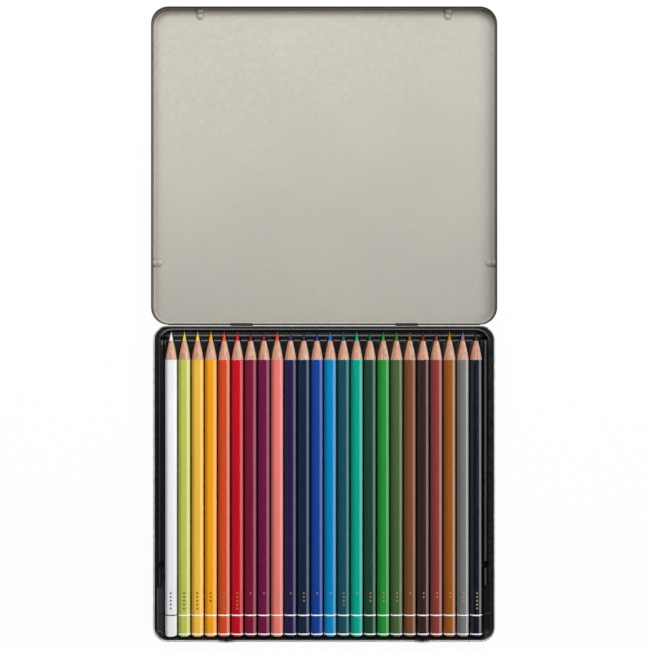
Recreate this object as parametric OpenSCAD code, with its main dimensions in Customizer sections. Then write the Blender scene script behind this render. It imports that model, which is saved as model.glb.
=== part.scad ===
// A flat hinged tin for a row of colouring pencils, lying open.
// The lid has swung back by half a turn and lies flat behind the tray.
// Origin: centre of the tray's base. +Y points to the hinge, +Z up. Millimetres.

/* [Pencils] */
// How many pencils lie side by side
pencil_count = 24; // [12:1:24]
// Length of a pencil from tip to end
pencil_length = 175; // [150:1:190]
// Width of the six-sided barrel across its flats
across_flats = 6.3; // [5.6:0.1:7.4]
// Radius of the barrel's corners
corner_radius = 0.9; // [0.4:0.1:1.4]
// Free space between neighbouring barrels
pencil_spacing = 0.63; // [0.5:0.01:2]
// Diameter of the coloured lead
lead_diameter = 2.4; // [1.8:0.1:3.2]
// Sharpened length from the tip to the paint
cone_length = 16.1; // [13:0.1:20]
// Part of the sharpened length that is bare lead
lead_cone_length = 5.4; // [3:0.1:7]
// Length of the nearly straight wood below the shoulder
shoulder_length = 3.4; // [1:0.1:5]
// How much thinner the nearly straight wood gets towards the point
shoulder_taper = 0.25; // [0.1:0.05:0.6]
// How far the shoulder runs under the paint at the corners
shoulder_run = 0.5; // [0.2:0.1:1.5]
// Radius of the blunt point
point_radius = 0.13; // [0.05:0.01:0.4]
// Rounding of the dipped end
end_rounding = 0.6; // [0.2:0.1:1.2]
// Wood and lacquer left behind the lead
end_cap = 0.4; // [0.2:0.1:2]

/* [Sheet] */
// Thickness of the tin sheet
sheet = 0.3; // [0.2:0.05:0.6]
// Thickness of the formed plastic insert
plastic = 0.4; // [0.3:0.05:0.6]

/* [Tray] */
// Height of the tray at its rim
tray_height = 11; // [10:0.1:16]
// Plan radius of the tray's rim at the corners
tray_corner = 8.2; // [6:0.1:14]
// Bend radius between base and wall, outside
tray_bend = 1.5; // [0.8:0.1:3]
// Diameter of the rolled rim
rim_diameter = 0.9; // [0.8:0.05:1.6]
// Distance of the snap lugs from the middle
lug_offset = 56; // [20:1:80]
// Width of a snap lug
lug_width = 11.4; // [6:0.1:16]
// How far a snap lug stands out
lug_height = 0.5; // [0.3:0.05:1]
// Height of the upright face of a snap lug below the rim
lug_face = 2.4; // [1:0.1:4]
// Height of the sloping foot of a snap lug
lug_foot = 2.4; // [1:0.1:4]

/* [Lid] */
// Height of the closed tin
closed_height = 14; // [12:0.1:24]
// Free width between the tray's rim and the lid's hem at the sides
side_clearance = 1.1; // [0.4:0.1:2]
// Free width between the snap lugs and the lid's hem
lug_clearance = 0.25; // [0.15:0.05:0.6]
// Height of the folded hem
hem_height = 1.5; // [0.8:0.1:2.5]
// Bend radius between panel and wall, outside
lid_bend = 1.6; // [0.8:0.1:3]
// Distance of the front stop dimples from the middle
front_dimple_offset = 72; // [30:1:85]
// Distance of the side stop dimples from the hinge line
side_dimple_offset = 36; // [20:1:80]
// Free height between the stop dimples and the tray's rim
stop_clearance = 0.2; // [0.1:0.05:0.6]

/* [Hinge] */
// Diameter of the bead on the lid's hinge edge
bead_diameter = 0.9; // [0.7:0.05:1.4]
// Running clearance between bead and tongue
hinge_clearance = 0.05; // [0.02:0.01:0.1]
// Width of a tongue
tongue_width = 13; // [8:0.5:20]
// Distance of the tongues from the middle
tongue_offset = 47.5; // [20:0.5:70]
// How far a tongue curls past the top of the bead
tongue_wrap = 25; // [10:1:45]
// Free width at each end of a tongue in its slot
slot_side = 0.5; // [0.3:0.1:1]
// Free distance between the bead and the tray's rim
bead_to_rim = 0.33; // [0.3:0.01:1]

/* [Insert] */
// Gap between the insert and the tin
fit_gap = 0.25; // [0.15:0.05:0.5]
// Gap between a pencil and its groove
groove_gap = 0.2; // [0.15:0.05:0.5]
// Top of the groove floors above the tray's base
groove_floor = 3.2; // [2.4:0.1:5]
// Height of the ridges between the grooves
ridge_height = 2.5; // [1.5:0.1:2.6]
// Depth of the flange below the tray's rim
flange_drop = 0.8; // [0.5:0.1:2]
// Width of the flange along the sides
side_flange = 3.2; // [1:0.1:6]
// Width of the flange behind the tips
back_flange = 1.2; // [0.6:0.1:4]
// Width of the flange at the pencil ends
front_flange = 0.4; // [0.4:0.1:4]
// Slope of the well's wall from flange to foot
wall_draft = 0.45; // [0.2:0.05:1]
// Width of the strip between the outer pencil and the wall
side_strip = 1.8; // [1:0.1:4]
// Room in front of the tips
tip_room = 0.5; // [0.4:0.1:3]
// Room behind the pencil ends
end_room = 0.4; // [0.3:0.1:3]
// Plan radius of the well's corners at the pencil ends
well_corner = 4.2; // [3:0.1:5]
// Plan radius of the well's corners behind the tips
tip_corner = 7.4; // [3:0.1:8]
// Length of the ledge below the tips
ledge_length = 3.45; // [2:0.05:5]
// Length of the ledge's lower step
ledge_step_length = 1.8; // [0.8:0.1:3]
// Drop of the ledge's lower step
ledge_step = 0.4; // [0.2:0.1:1]
// Width of the channel between ledge and ridges
channel_width = 1.3; // [0.8:0.1:4]
// Length of the sloping ridge ends
ridge_slope = 1.1; // [0.6:0.1:3]
// Length of the finger scoop
scoop_length = 26.4; // [18:0.1:40]
// Distance of the scoop from the pencil ends
scoop_setback = 2.8; // [2:0.1:12]
// Plan radius of the scoop at its corners
scoop_corner = 6.5; // [3:0.1:8]
// Strip left between the scoop and the well's wall
scoop_strip = 0.6; // [0.5:0.1:3]
// Distance of the notches in the side strips from the pencil ends
notch_setback = 39.5; // [36:0.5:80]
// Length of a notch along the strip
notch_length = 3.8; // [2:0.1:8]
// Depth of a notch
notch_depth = 0.8; // [0.4:0.1:1.2]

/* [Hidden] */
$fn = 48;
overlap = 1;            // how far a cutting tool runs past what it cuts
glue_gap = 0.02;        // lead in its bore
bend_steps = 5;         // straight steps in a small bend
corner_steps = 4;       // straight steps in a barrel's round corner
curl_steps = 30;        // straight steps in a tongue's curl
rim_steps = 10;         // straight steps in the rolled rim
rim_start = -110;       // angle at which the rim's roll leaves the wall
lug_sides = 360;        // sides of the circle that a lug's arc is part of

// Pencils
corner_ring = (across_flats / 2 - corner_radius) / cos(30);
barrel_radius = corner_ring + corner_radius;
pitch = 2 * barrel_radius + pencil_spacing;
lead_radius = lead_diameter / 2;
shoulder_radius = across_flats / 2;
straight_radius = shoulder_radius - shoulder_taper;
row_half = (pencil_count - 1) / 2 * pitch;
pencil_z = groove_floor + groove_gap + across_flats / 2;

// Plan sizes, from the pencils outwards
well_half_x = row_half + barrel_radius + side_strip;
tray_half_x = well_half_x + wall_draft + side_flange + fit_gap + rim_diameter;
back_margin = tip_room + wall_draft + back_flange + fit_gap + rim_diameter;
front_margin = end_room + wall_draft + front_flange + fit_gap + rim_diameter;
tray_half_y = (pencil_length + back_margin + front_margin) / 2;
tip_y = tray_half_y - back_margin;
end_y = tip_y - pencil_length;
well_back = tip_y + tip_room;
well_front = end_y - end_room;

// Tray
rim_radius = rim_diameter / 2;
rim_z = tray_height - rim_radius;
wall_outside = tray_corner - rim_diameter + sheet;
front_wall_y = -(tray_half_y - rim_diameter + sheet);
back_wall_y = -front_wall_y;

// Snap lugs
lug_arc = (pow(lug_width / 2, 2) + pow(lug_height, 2)) / (2 * lug_height);
lug_angle = asin(lug_width / 2 / lug_arc);
lug_low = rim_z - rim_radius - lug_foot - lug_face;

// Hinge
bead_radius = bead_diameter / 2;
hinge_y = tray_half_y + bead_to_rim + bead_radius;
hinge_z = closed_height / 2;
tongue_inside = bead_radius + hinge_clearance;
tongue_outside = tongue_inside + sheet;
tongue_run = hinge_y - back_wall_y
    + PI * (tongue_inside + sheet / 2) * (180 + tongue_wrap) / 180;
slot_width = tongue_width + 2 * slot_side;
slot_depth = tongue_outside + 2 * tongue_inside;

// Lid, as it lies open
hem = 2 * sheet;
lid_corner = tray_corner + side_clearance + hem;
lid_half_x = tray_half_x + side_clearance + hem;
lid_depth = hinge_z + bead_radius;
lid_back_y = hinge_y - sheet / 2;
closed_front_y = -(tray_half_y + lug_height + lug_clearance + hem);
lid_length = hinge_y + sheet / 2 - closed_front_y;
lid_half_y = lid_length / 2;
lid_mid_y = lid_back_y + lid_half_y;
rim_inset = lug_height + lug_clearance + hem - sheet + rim_radius;
rim_drop = closed_height - sheet - rim_z;
dimple_radius = norm([rim_inset, rim_drop]) - rim_radius - stop_clearance;

// Insert
insert_corner = tray_corner - rim_diameter - fit_gap;
insert_half_x = tray_half_x - rim_diameter - fit_gap;
insert_half_y = tray_half_y - rim_diameter - fit_gap;
flange_z = tray_height - flange_drop;
insert_bottom = sheet + fit_gap;
ridge_top = groove_floor + ridge_height;
floor_under = groove_floor - plastic;
facet_half = across_flats / 2 * tan(30);
facet_run = 1 / tan(60);
slant = 1 / sin(60);
ledge_y = well_back - ledge_length;
ridge_start = ledge_y - channel_width;
scoop_front = end_y + scoop_setback;
scoop_half_x = well_half_x - scoop_strip;
notch_y = end_y + notch_setback + notch_length / 2;
notch_floor = ridge_top - notch_depth;
well_reach_x = well_half_x + plastic;
well_mid_y = (well_back + well_front) / 2;
well_half_y = (well_back - well_front) / 2;

// Lacquer colours of the pencils, left to right, and of their leads
lacquers = [
    [0.90, 0.90, 0.90], [0.75, 0.76, 0.34], [0.93, 0.72, 0.27], [0.94, 0.63, 0.08],
    [0.82, 0.32, 0.12], [0.76, 0.05, 0.13], [0.48, 0.10, 0.20], [0.43, 0.08, 0.26],
    [0.88, 0.47, 0.43], [0.15, 0.11, 0.27], [0.10, 0.17, 0.24], [0.09, 0.26, 0.59],
    [0.00, 0.51, 0.73], [0.08, 0.31, 0.35], [0.00, 0.63, 0.55], [0.13, 0.25, 0.19],
    [0.14, 0.55, 0.22], [0.28, 0.38, 0.24], [0.46, 0.28, 0.16], [0.22, 0.14, 0.13],
    [0.55, 0.23, 0.20], [0.59, 0.33, 0.09], [0.49, 0.49, 0.49], [0.03, 0.05, 0.10]
];
leads = [
    [0.93, 0.93, 0.93], [0.86, 0.82, 0.31], [0.96, 0.80, 0.24], [0.96, 0.67, 0.04],
    [0.90, 0.31, 0.12], [0.88, 0.08, 0.14], [0.51, 0.08, 0.12], [0.51, 0.10, 0.22],
    [0.88, 0.29, 0.24], [0.24, 0.20, 0.35], [0.12, 0.18, 0.24], [0.12, 0.20, 0.55],
    [0.00, 0.47, 0.78], [0.00, 0.37, 0.45], [0.00, 0.65, 0.57], [0.04, 0.31, 0.24],
    [0.08, 0.59, 0.20], [0.24, 0.47, 0.16], [0.47, 0.35, 0.12], [0.39, 0.16, 0.12],
    [0.39, 0.27, 0.29], [0.73, 0.51, 0.08], [0.47, 0.47, 0.59], [0.16, 0.18, 0.20]
];

function number(i) = i < 10 ? str("0", i) : str(i);
function casing_name(i) = str("pencil_", number(i), "_casing");
function lead_name(i) = str("pencil_", number(i), "_lead");
function pencil_x(i) = (i - 1) * pitch - row_half;

// Points of an arc round [x, y], from one angle to another
function arc(x, y, radius, from, to, steps) = [
    for (k = [0:steps]) let (a = from + (to - from) * k / steps)
        [x + radius * cos(a), y + radius * sin(a)]
];

// Rectangle with round corners, given by its half sizes
module round_rect(half_x, half_y, corner) {
    union() {
        square([2 * half_x, 2 * (half_y - corner)], center = true);
        square([2 * (half_x - corner), 2 * half_y], center = true);
        for (x = [-1, 1], y = [-1, 1])
            translate([x * (half_x - corner), y * (half_y - corner)]) circle(corner);
    }
}

// A wall profile's straight run on the +X side: its x is the distance from the corners' centres
module side_run(half_x, half_y, corner) {
    translate([half_x - corner, half_y - corner, 0]) rotate([90, 0, 0])
        linear_extrude(2 * (half_y - corner)) children();
}

// A wall profile turned round the corner at +X +Y
module corner_turn(half_x, half_y, corner) {
    translate([half_x - corner, half_y - corner, 0]) rotate_extrude(angle = 90) children();
}

// A wall profile swept round a rectangle with round corners, all but the -Y run
module sweep_three_sides(half_x, half_y, corner) {
    for (turn = [0, 180]) rotate([0, 0, turn]) {
        side_run(half_x, half_y, corner) children();
        corner_turn(half_x, half_y, corner) children();
    }
    for (turn = [90, 270]) rotate([0, 0, turn])
        corner_turn(half_y, half_x, corner) children();
    rotate([0, 0, 90]) side_run(half_y, half_x, corner) children();
}

// The run that closes the sweep on the -Y side
module front_run(half_x, half_y, corner) {
    rotate([0, 0, 270]) side_run(half_y, half_x, corner) children();
}

// Sheet that bends up from a base into a wall, from the corner's centre outwards
function bend_outside(wall, bend) =
    concat([[0, 0]], arc(wall - bend, bend, bend, -90, 0, bend_steps));
function bend_inside(wall, bend) =
    concat(arc(wall - bend, bend, bend - sheet, 0, -90, bend_steps), [[0, sheet]]);

// Tray: drawn sheet with a rim rolled outwards
module tray_wall_profile() {
    polygon(concat(
        bend_outside(wall_outside, tray_bend),
        arc(wall_outside - sheet + rim_radius, rim_z, rim_radius, rim_start, 180, rim_steps),
        bend_inside(wall_outside, tray_bend)
    ));
}

// Snap lug: the front wall and its rim pressed outwards along a shallow arc
module lug_place(side) {
    translate([side * lug_offset, front_wall_y + lug_arc - lug_height, 0])
        rotate([0, 0, 270 - lug_angle]) rotate_extrude(angle = 2 * lug_angle, $fn = lug_sides)
            children();
}

module lug_profile() {
    polygon(concat(
        [[lug_arc - lug_height - sheet, lug_low], [lug_arc - lug_height, lug_low]],
        [[lug_arc, lug_low + lug_foot]],
        arc(lug_arc - sheet + rim_radius, rim_z, rim_radius, rim_start, 180, rim_steps),
        [[lug_arc - sheet, lug_low + lug_foot]]
    ));
}

module lug_clearing_profile() {
    polygon([
        [lug_arc - lug_height - sheet, lug_low], [lug_arc - sheet, lug_low + lug_foot],
        [lug_arc - sheet, tray_height + overlap],
        [lug_arc - sheet - overlap, tray_height + overlap],
        [lug_arc - sheet - overlap, lug_low]
    ]);
}

// Hinge tongue: lanced from the back wall and curled round the lid's bead
module tongue_profile() {
    union() {
        translate([back_wall_y - sheet, hinge_z - tongue_outside])
            square([hinge_y - back_wall_y + sheet, sheet]);
        polygon(concat(
            arc(hinge_y, hinge_z, tongue_outside, -90, 90 + tongue_wrap, curl_steps),
            arc(hinge_y, hinge_z, tongue_inside, 90 + tongue_wrap, -90, curl_steps)
        ));
    }
}

module tongue(side) {
    translate([side * tongue_offset - tongue_width / 2, 0, 0])
        rotate([90, 0, 90]) linear_extrude(tongue_width) tongue_profile();
}

// The opening that a tongue leaves in the wall: as high as the tongue is long
module tongue_window(side) {
    window_low = hinge_z - tongue_outside + sheet;
    window_high = min(window_low + tongue_run, rim_z - rim_radius - sheet);
    translate([side * tongue_offset - tongue_width / 2, back_wall_y - sheet - overlap, window_low])
        cube([tongue_width, sheet + 2 * overlap, window_high - window_low]);
}

module tray_shell() {
    color("dimgray") union() {
        difference() {
            union() {
                translate([-(tray_half_x - tray_corner), -(tray_half_y - tray_corner), 0])
                    cube([2 * (tray_half_x - tray_corner), 2 * (tray_half_y - tray_corner), sheet]);
                sweep_three_sides(tray_half_x, tray_half_y, tray_corner) tray_wall_profile();
                front_run(tray_half_x, tray_half_y, tray_corner) tray_wall_profile();
            }
            for (side = [-1, 1]) {
                lug_place(side) lug_clearing_profile();
                tongue_window(side);
            }
        }
        for (side = [-1, 1]) {
            lug_place(side) lug_profile();
            tongue(side);
        }
    }
}

// Lid wall with the hem folded inwards
module hemmed_wall_profile() {
    polygon(concat(
        bend_outside(lid_corner, lid_bend),
        arc(lid_corner - sheet, lid_depth - sheet, sheet, 0, 180, bend_steps),
        [[lid_corner - hem, lid_depth - hem_height], [lid_corner - sheet, lid_depth - hem_height]],
        bend_inside(lid_corner, lid_bend)
    ));
}

// Lid wall on the hinge side, up to the middle of its bead
module hinge_wall_profile() {
    polygon(concat(
        bend_outside(lid_corner, lid_bend),
        [[lid_corner, hinge_z], [lid_corner - sheet, hinge_z]],
        bend_inside(lid_corner, lid_bend)
    ));
}

module hinge_slot(side) {
    translate([side * tongue_offset - slot_width / 2, -lid_half_y - overlap, hinge_z - slot_depth])
        cube([slot_width, sheet + 2 * overlap, slot_depth + overlap]);
}

// Places of the four stop dimples, on the inside corner of wall and panel
dimple_places = concat(
    [for (side = [-1, 1]) [side * front_dimple_offset, lid_half_y - sheet, sheet]],
    [for (side = [-1, 1]) [side * (lid_half_x - sheet), side_dimple_offset - lid_half_y, sheet]]
);

module dimple_domes() {
    intersection() {
        union() {
            for (place = dimple_places) translate(place) sphere(dimple_radius);
        }
        translate([-lid_half_x, -lid_half_y, 0]) cube([2 * lid_half_x, lid_length, lid_depth]);
    }
}

module lid_shell() {
    color("darkkhaki") translate([0, lid_mid_y, 0]) union() {
        difference() {
            union() {
                translate([-(lid_half_x - lid_corner), -(lid_half_y - lid_corner), 0])
                    cube([2 * (lid_half_x - lid_corner), 2 * (lid_half_y - lid_corner), sheet]);
                sweep_three_sides(lid_half_x, lid_half_y, lid_corner) hemmed_wall_profile();
                front_run(lid_half_x, lid_half_y, lid_corner) hinge_wall_profile();
                dimple_domes();
            }
            for (place = dimple_places) translate(place) sphere(dimple_radius - sheet);
            for (side = [-1, 1]) hinge_slot(side);
        }
        translate([-(lid_half_x - lid_corner), sheet / 2 - lid_half_y, hinge_z])
            rotate([0, 90, 0]) cylinder(r = bead_radius, h = 2 * (lid_half_x - lid_corner));
    }
}

// Half width of a ridge at a height, and of the hollow under it
function ridge_half(z) =
    pitch / 2 - facet_half - groove_gap * slant - (z - groove_floor - groove_gap) * facet_run;
function hollow_half(z) = ridge_half(z) - plastic * slant;
function ridge_x(i) = pencil_x(i) + pitch / 2;

// Upper outline of the grooves across the tin, closed at a given height
module groove_outline(bottom) {
    low = ridge_half(groove_floor);
    high = ridge_half(ridge_top);
    polygon(concat(
        [[-well_reach_x, bottom], [-well_reach_x, ridge_top]],
        [[ridge_x(0) + high, ridge_top], [ridge_x(0) + low, groove_floor]],
        [for (i = [1:pencil_count - 1]) each [
            [ridge_x(i) - low, groove_floor], [ridge_x(i) - high, ridge_top],
            [ridge_x(i) + high, ridge_top], [ridge_x(i) + low, groove_floor]
        ]],
        [[ridge_x(pencil_count) - low, groove_floor]],
        [[ridge_x(pencil_count) - high, ridge_top]],
        [[well_reach_x, ridge_top], [well_reach_x, bottom]]
    ));
}

// Hollows under the ridges and under the side strips
module hollow_outline() {
    under = floor_under - overlap;
    low = hollow_half(under);
    high = hollow_half(ridge_top - plastic);
    for (i = [1:pencil_count - 1]) polygon([
        [ridge_x(i) - low, under], [ridge_x(i) - high, ridge_top - plastic],
        [ridge_x(i) + high, ridge_top - plastic], [ridge_x(i) + low, under]
    ]);
    for (side = [-1, 1]) polygon([
        [side * (-ridge_x(0) - low), under], [side * (-ridge_x(0) - high), ridge_top - plastic],
        [side * (well_half_x + side_flange), ridge_top - plastic],
        [side * (well_half_x + side_flange), under]
    ]);
}

// Lengthwise outline of the ridges: full height up to a sloping end
module ridge_length_outline(inset, top, bottom) {
    start = ridge_start - inset;
    polygon([
        [well_front - overlap, bottom], [well_back + overlap, bottom],
        [well_back + overlap, groove_floor - inset], [start, groove_floor - inset],
        [start - ridge_slope, top], [well_front - overlap, top]
    ]);
}

module lengthwise(x_half) {
    translate([-x_half, 0, 0]) rotate([90, 0, 90]) linear_extrude(2 * x_half) children();
}

module crosswise(front, back) {
    translate([0, back, 0]) rotate([90, 0, 0]) linear_extrude(back - front) children();
}

// Everything under the grooved surface, down to a given height
module grooved_block(bottom) {
    intersection() {
        crosswise(well_front - plastic, well_back + plastic) groove_outline(bottom);
        lengthwise(well_reach_x) ridge_length_outline(0, ridge_top, bottom);
    }
}

module ridge_hollows() {
    intersection() {
        crosswise(well_front, ridge_start) hollow_outline();
        lengthwise(insert_half_x + overlap)
            ridge_length_outline(plastic, ridge_top - plastic, floor_under - 2 * overlap);
    }
}

// Box across each side strip where it has a notch, given by its bottom
module notch_box(grow, bottom) {
    start = row_half + facet_half;
    length = notch_length + 2 * grow;
    for (side = [0, 1]) mirror([side, 0, 0])
        translate([start, notch_y - length / 2, bottom])
            cube([well_half_x + 2 * grow - start, length, tray_height]);
}

// Stepped ledge under the tips
module ledge_outline() {
    polygon([
        [ledge_y, floor_under], [ledge_y, ridge_top - ledge_step],
        [ledge_y + ledge_step_length, ridge_top - ledge_step],
        [ledge_y + ledge_step_length, ridge_top],
        [well_back + overlap, ridge_top], [well_back + overlap, floor_under]
    ]);
}

module ledge_hollow_outline() {
    under = floor_under - overlap;
    polygon([
        [ledge_y + plastic, under], [ledge_y + plastic, ridge_top - ledge_step - plastic],
        [ledge_y + ledge_step_length + plastic, ridge_top - ledge_step - plastic],
        [ledge_y + ledge_step_length + plastic, ridge_top - plastic],
        [insert_half_y + overlap, ridge_top - plastic], [insert_half_y + overlap, under]
    ]);
}

// Plan of the well at its foot, grown outwards; its corners are rounder behind the tips
module well_plan(grow) {
    half_x = well_half_x + grow;
    half_y = well_half_y + grow;
    translate([0, well_mid_y]) {
        intersection() {
            round_rect(half_x, half_y, tip_corner - wall_draft + grow);
            translate([-half_x, -overlap]) square([2 * half_x, half_y + overlap]);
        }
        intersection() {
            round_rect(half_x, half_y, well_corner - wall_draft + grow);
            translate([-half_x, -half_y]) square([2 * half_x, half_y + overlap]);
        }
    }
}

// Sloping wall with a rounded upper edge, from the flange down to the groove floors
module well_wall_profile(corner) {
    foot = corner - wall_draft;
    polygon(concat(
        [[foot, floor_under]],
        [[foot + plastic, floor_under]],
        [[corner + plastic, flange_z - plastic]],
        arc(corner + plastic, flange_z - plastic, plastic, 90, 180, bend_steps)
    ));
}

module well_wall() {
    half_x = well_half_x + wall_draft;
    half_y = well_half_y + wall_draft;
    translate([0, well_mid_y, 0]) {
        for (side = [0, 1]) mirror([side, 0, 0]) {
            corner_turn(half_x, half_y, tip_corner) well_wall_profile(tip_corner);
            mirror([0, 1, 0]) corner_turn(half_x, half_y, well_corner)
                well_wall_profile(well_corner);
            translate([half_x - well_corner, half_y - tip_corner, 0]) rotate([90, 0, 0])
                linear_extrude(2 * half_y - tip_corner - well_corner)
                    well_wall_profile(well_corner);
        }
        rotate([0, 0, 90]) side_run(half_y, half_x, tip_corner) well_wall_profile(tip_corner);
        rotate([0, 0, 270]) side_run(half_y, half_x, well_corner) well_wall_profile(well_corner);
    }
}

module flange() {
    edge = wall_draft + plastic / 2;
    translate([0, 0, flange_z - plastic]) linear_extrude(plastic) difference() {
        round_rect(insert_half_x, insert_half_y, insert_corner);
        well_plan(edge);
    }
}

module scoop_outline(grow) {
    translate([0, scoop_front + scoop_length / 2])
        round_rect(scoop_half_x + grow, scoop_length / 2 + grow, scoop_corner + grow);
}

// Scoop: a deeper pan under the pencil ends whose wall ends at the grooved surface
module scoop_pan() {
    translate([0, 0, insert_bottom]) linear_extrude(plastic) scoop_outline(plastic);
    intersection() {
        grooved_block(insert_bottom);
        translate([0, 0, insert_bottom]) linear_extrude(tray_height) difference() {
            scoop_outline(plastic);
            scoop_outline(0);
        }
    }
}

module insert() {
    color([0.08, 0.08, 0.09]) union() {
        difference() {
            union() {
                flange();
                well_wall();
                intersection() {
                    union() {
                        grooved_block(floor_under);
                        lengthwise(well_reach_x) ledge_outline();
                    }
                    linear_extrude(tray_height) well_plan(plastic);
                }
            }
            difference() {
                ridge_hollows();
                notch_box(plastic, notch_floor - plastic);
            }
            notch_box(0, notch_floor);
            lengthwise(insert_half_x + overlap) ledge_hollow_outline();
            translate([0, 0, -overlap]) linear_extrude(tray_height) scoop_outline(0);
        }
        scoop_pan();
    }
}

// Pencils are drawn upright, end at the bottom, and laid down with the tip towards the hinge
module laid_pencil(i) {
    translate([pencil_x(i), end_y, pencil_z]) rotate([-90, 0, 0]) children();
}

// Six flats joined by round corners
module barrel_outline() {
    polygon([
        for (turn = [0:60:300]) each arc(corner_ring * cos(turn), corner_ring * sin(turn),
            corner_radius, turn - 30, turn + 30, corner_steps)
    ]);
}

// Turned outline of a casing: rounded end, shoulder and sharpened wood
module casing_outline() {
    paint_z = pencil_length - cone_length;
    polygon(concat(
        [[0, 0]],
        arc(barrel_radius - end_rounding, end_rounding, end_rounding, -90, 0, bend_steps),
        [
            [barrel_radius, paint_z - shoulder_run], [shoulder_radius, paint_z],
            [straight_radius, paint_z + shoulder_length],
            [lead_radius + glue_gap, pencil_length - lead_cone_length],
            [0, pencil_length - lead_cone_length]
        ]
    ));
}

module casing(i) {
    color(lacquers[(i - 1) % len(lacquers)]) laid_pencil(i) difference() {
        intersection() {
            linear_extrude(pencil_length) barrel_outline();
            rotate_extrude() casing_outline();
        }
        translate([0, 0, end_cap]) cylinder(r = lead_radius, h = pencil_length);
    }
}

module lead(i) {
    core = lead_radius - glue_gap;
    color(leads[(i - 1) % len(leads)]) laid_pencil(i) rotate_extrude() polygon([
        [0, end_cap + glue_gap], [core, end_cap + glue_gap],
        [core, pencil_length - lead_cone_length],
        [point_radius, pencil_length - point_radius], [0, pencil_length]
    ]);
}

tray_shell();
lid_shell();
insert();
for (i = [1:pencil_count]) {
    casing(i);
    lead(i);
}
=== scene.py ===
"""Looks of a hinged tin of colouring pencils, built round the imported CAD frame.

x runs across the tin, y from its front edge to the open lid, and z up. Lengths in the constants
and tables are millimetres unless a comment says otherwise; meshes are made in metres.
"""

import math
import random

import bmesh
import bpy
from mathutils import Matrix, Vector


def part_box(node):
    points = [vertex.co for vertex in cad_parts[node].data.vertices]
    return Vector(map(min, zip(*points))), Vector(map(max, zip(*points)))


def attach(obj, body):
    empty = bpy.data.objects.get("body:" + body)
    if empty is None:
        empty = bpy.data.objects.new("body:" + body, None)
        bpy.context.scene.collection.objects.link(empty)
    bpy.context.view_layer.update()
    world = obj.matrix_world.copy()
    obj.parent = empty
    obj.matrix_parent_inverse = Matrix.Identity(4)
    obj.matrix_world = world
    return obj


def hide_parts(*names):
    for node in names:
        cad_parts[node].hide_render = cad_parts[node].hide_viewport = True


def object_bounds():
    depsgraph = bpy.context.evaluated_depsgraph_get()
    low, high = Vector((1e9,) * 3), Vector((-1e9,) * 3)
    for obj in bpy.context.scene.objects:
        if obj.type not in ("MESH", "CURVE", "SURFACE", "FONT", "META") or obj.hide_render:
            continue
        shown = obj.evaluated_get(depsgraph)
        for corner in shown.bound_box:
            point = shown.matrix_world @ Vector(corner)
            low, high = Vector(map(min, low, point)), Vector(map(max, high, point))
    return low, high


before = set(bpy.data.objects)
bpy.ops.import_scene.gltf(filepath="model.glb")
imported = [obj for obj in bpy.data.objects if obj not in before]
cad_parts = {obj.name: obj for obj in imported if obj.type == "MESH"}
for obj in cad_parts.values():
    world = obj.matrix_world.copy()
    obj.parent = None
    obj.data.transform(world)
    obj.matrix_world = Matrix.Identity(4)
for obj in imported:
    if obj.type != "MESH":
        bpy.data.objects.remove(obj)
cad_low, cad_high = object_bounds()

MM = 0.001
PENCILS = 24

# Sizes that the CAD source also has
PENCIL_LENGTH = 175.0
CONE = 16.1
SHEET = 0.3
TRAY_HEIGHT = 11.0
TRAY_HALF_Y = 90.35
TRAY_CORNER = 8.2
RIM = 0.9
SIDE_CLEARANCE = 1.1
LID_BACK = 90.98
# Outer bend of the lid between its panel and its walls
LID_BEND = 1.6
# Dimples: off the middle in the far wall, from the hinge edge in the side walls
DIMPLE_X, DIMPLE_Y = 72, 36
DENT_RADIUS = 2.69

casing_low, casing_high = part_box("pencil_01_casing")
END_Y = casing_low.y / MM
AXIS_Z = (casing_low.z + casing_high.z) / 2 / MM
FIRST_X = (casing_low.x + casing_high.x) / 2 / MM
PITCH = -2 * FIRST_X / (PENCILS - 1)
# The row of pencils and the grooves under it lie this much to one side of the solids
ASIDE = -0.3


# ------------------------ colours and nodes

# Most values of a noise texture lie between these
NOISE_LOW, NOISE_HIGH = 0.3, 0.7


def linear(r, g, b):
    """A colour given as it looks on screen, 0 to 255, as linear values."""
    def one(c):
        c /= 255.0
        return c / 12.92 if c <= 0.04045 else ((c + 0.055) / 1.055) ** 2.4
    return (one(r), one(g), one(b), 1.0)


def neutral(value):
    """A grey of this linear value."""
    return (value, value, value, 1.0)


def shade(colour, factor):
    """A linear colour made lighter or darker."""
    return tuple(min(1.0, c * factor) for c in colour[:3]) + (1.0,)


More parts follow.
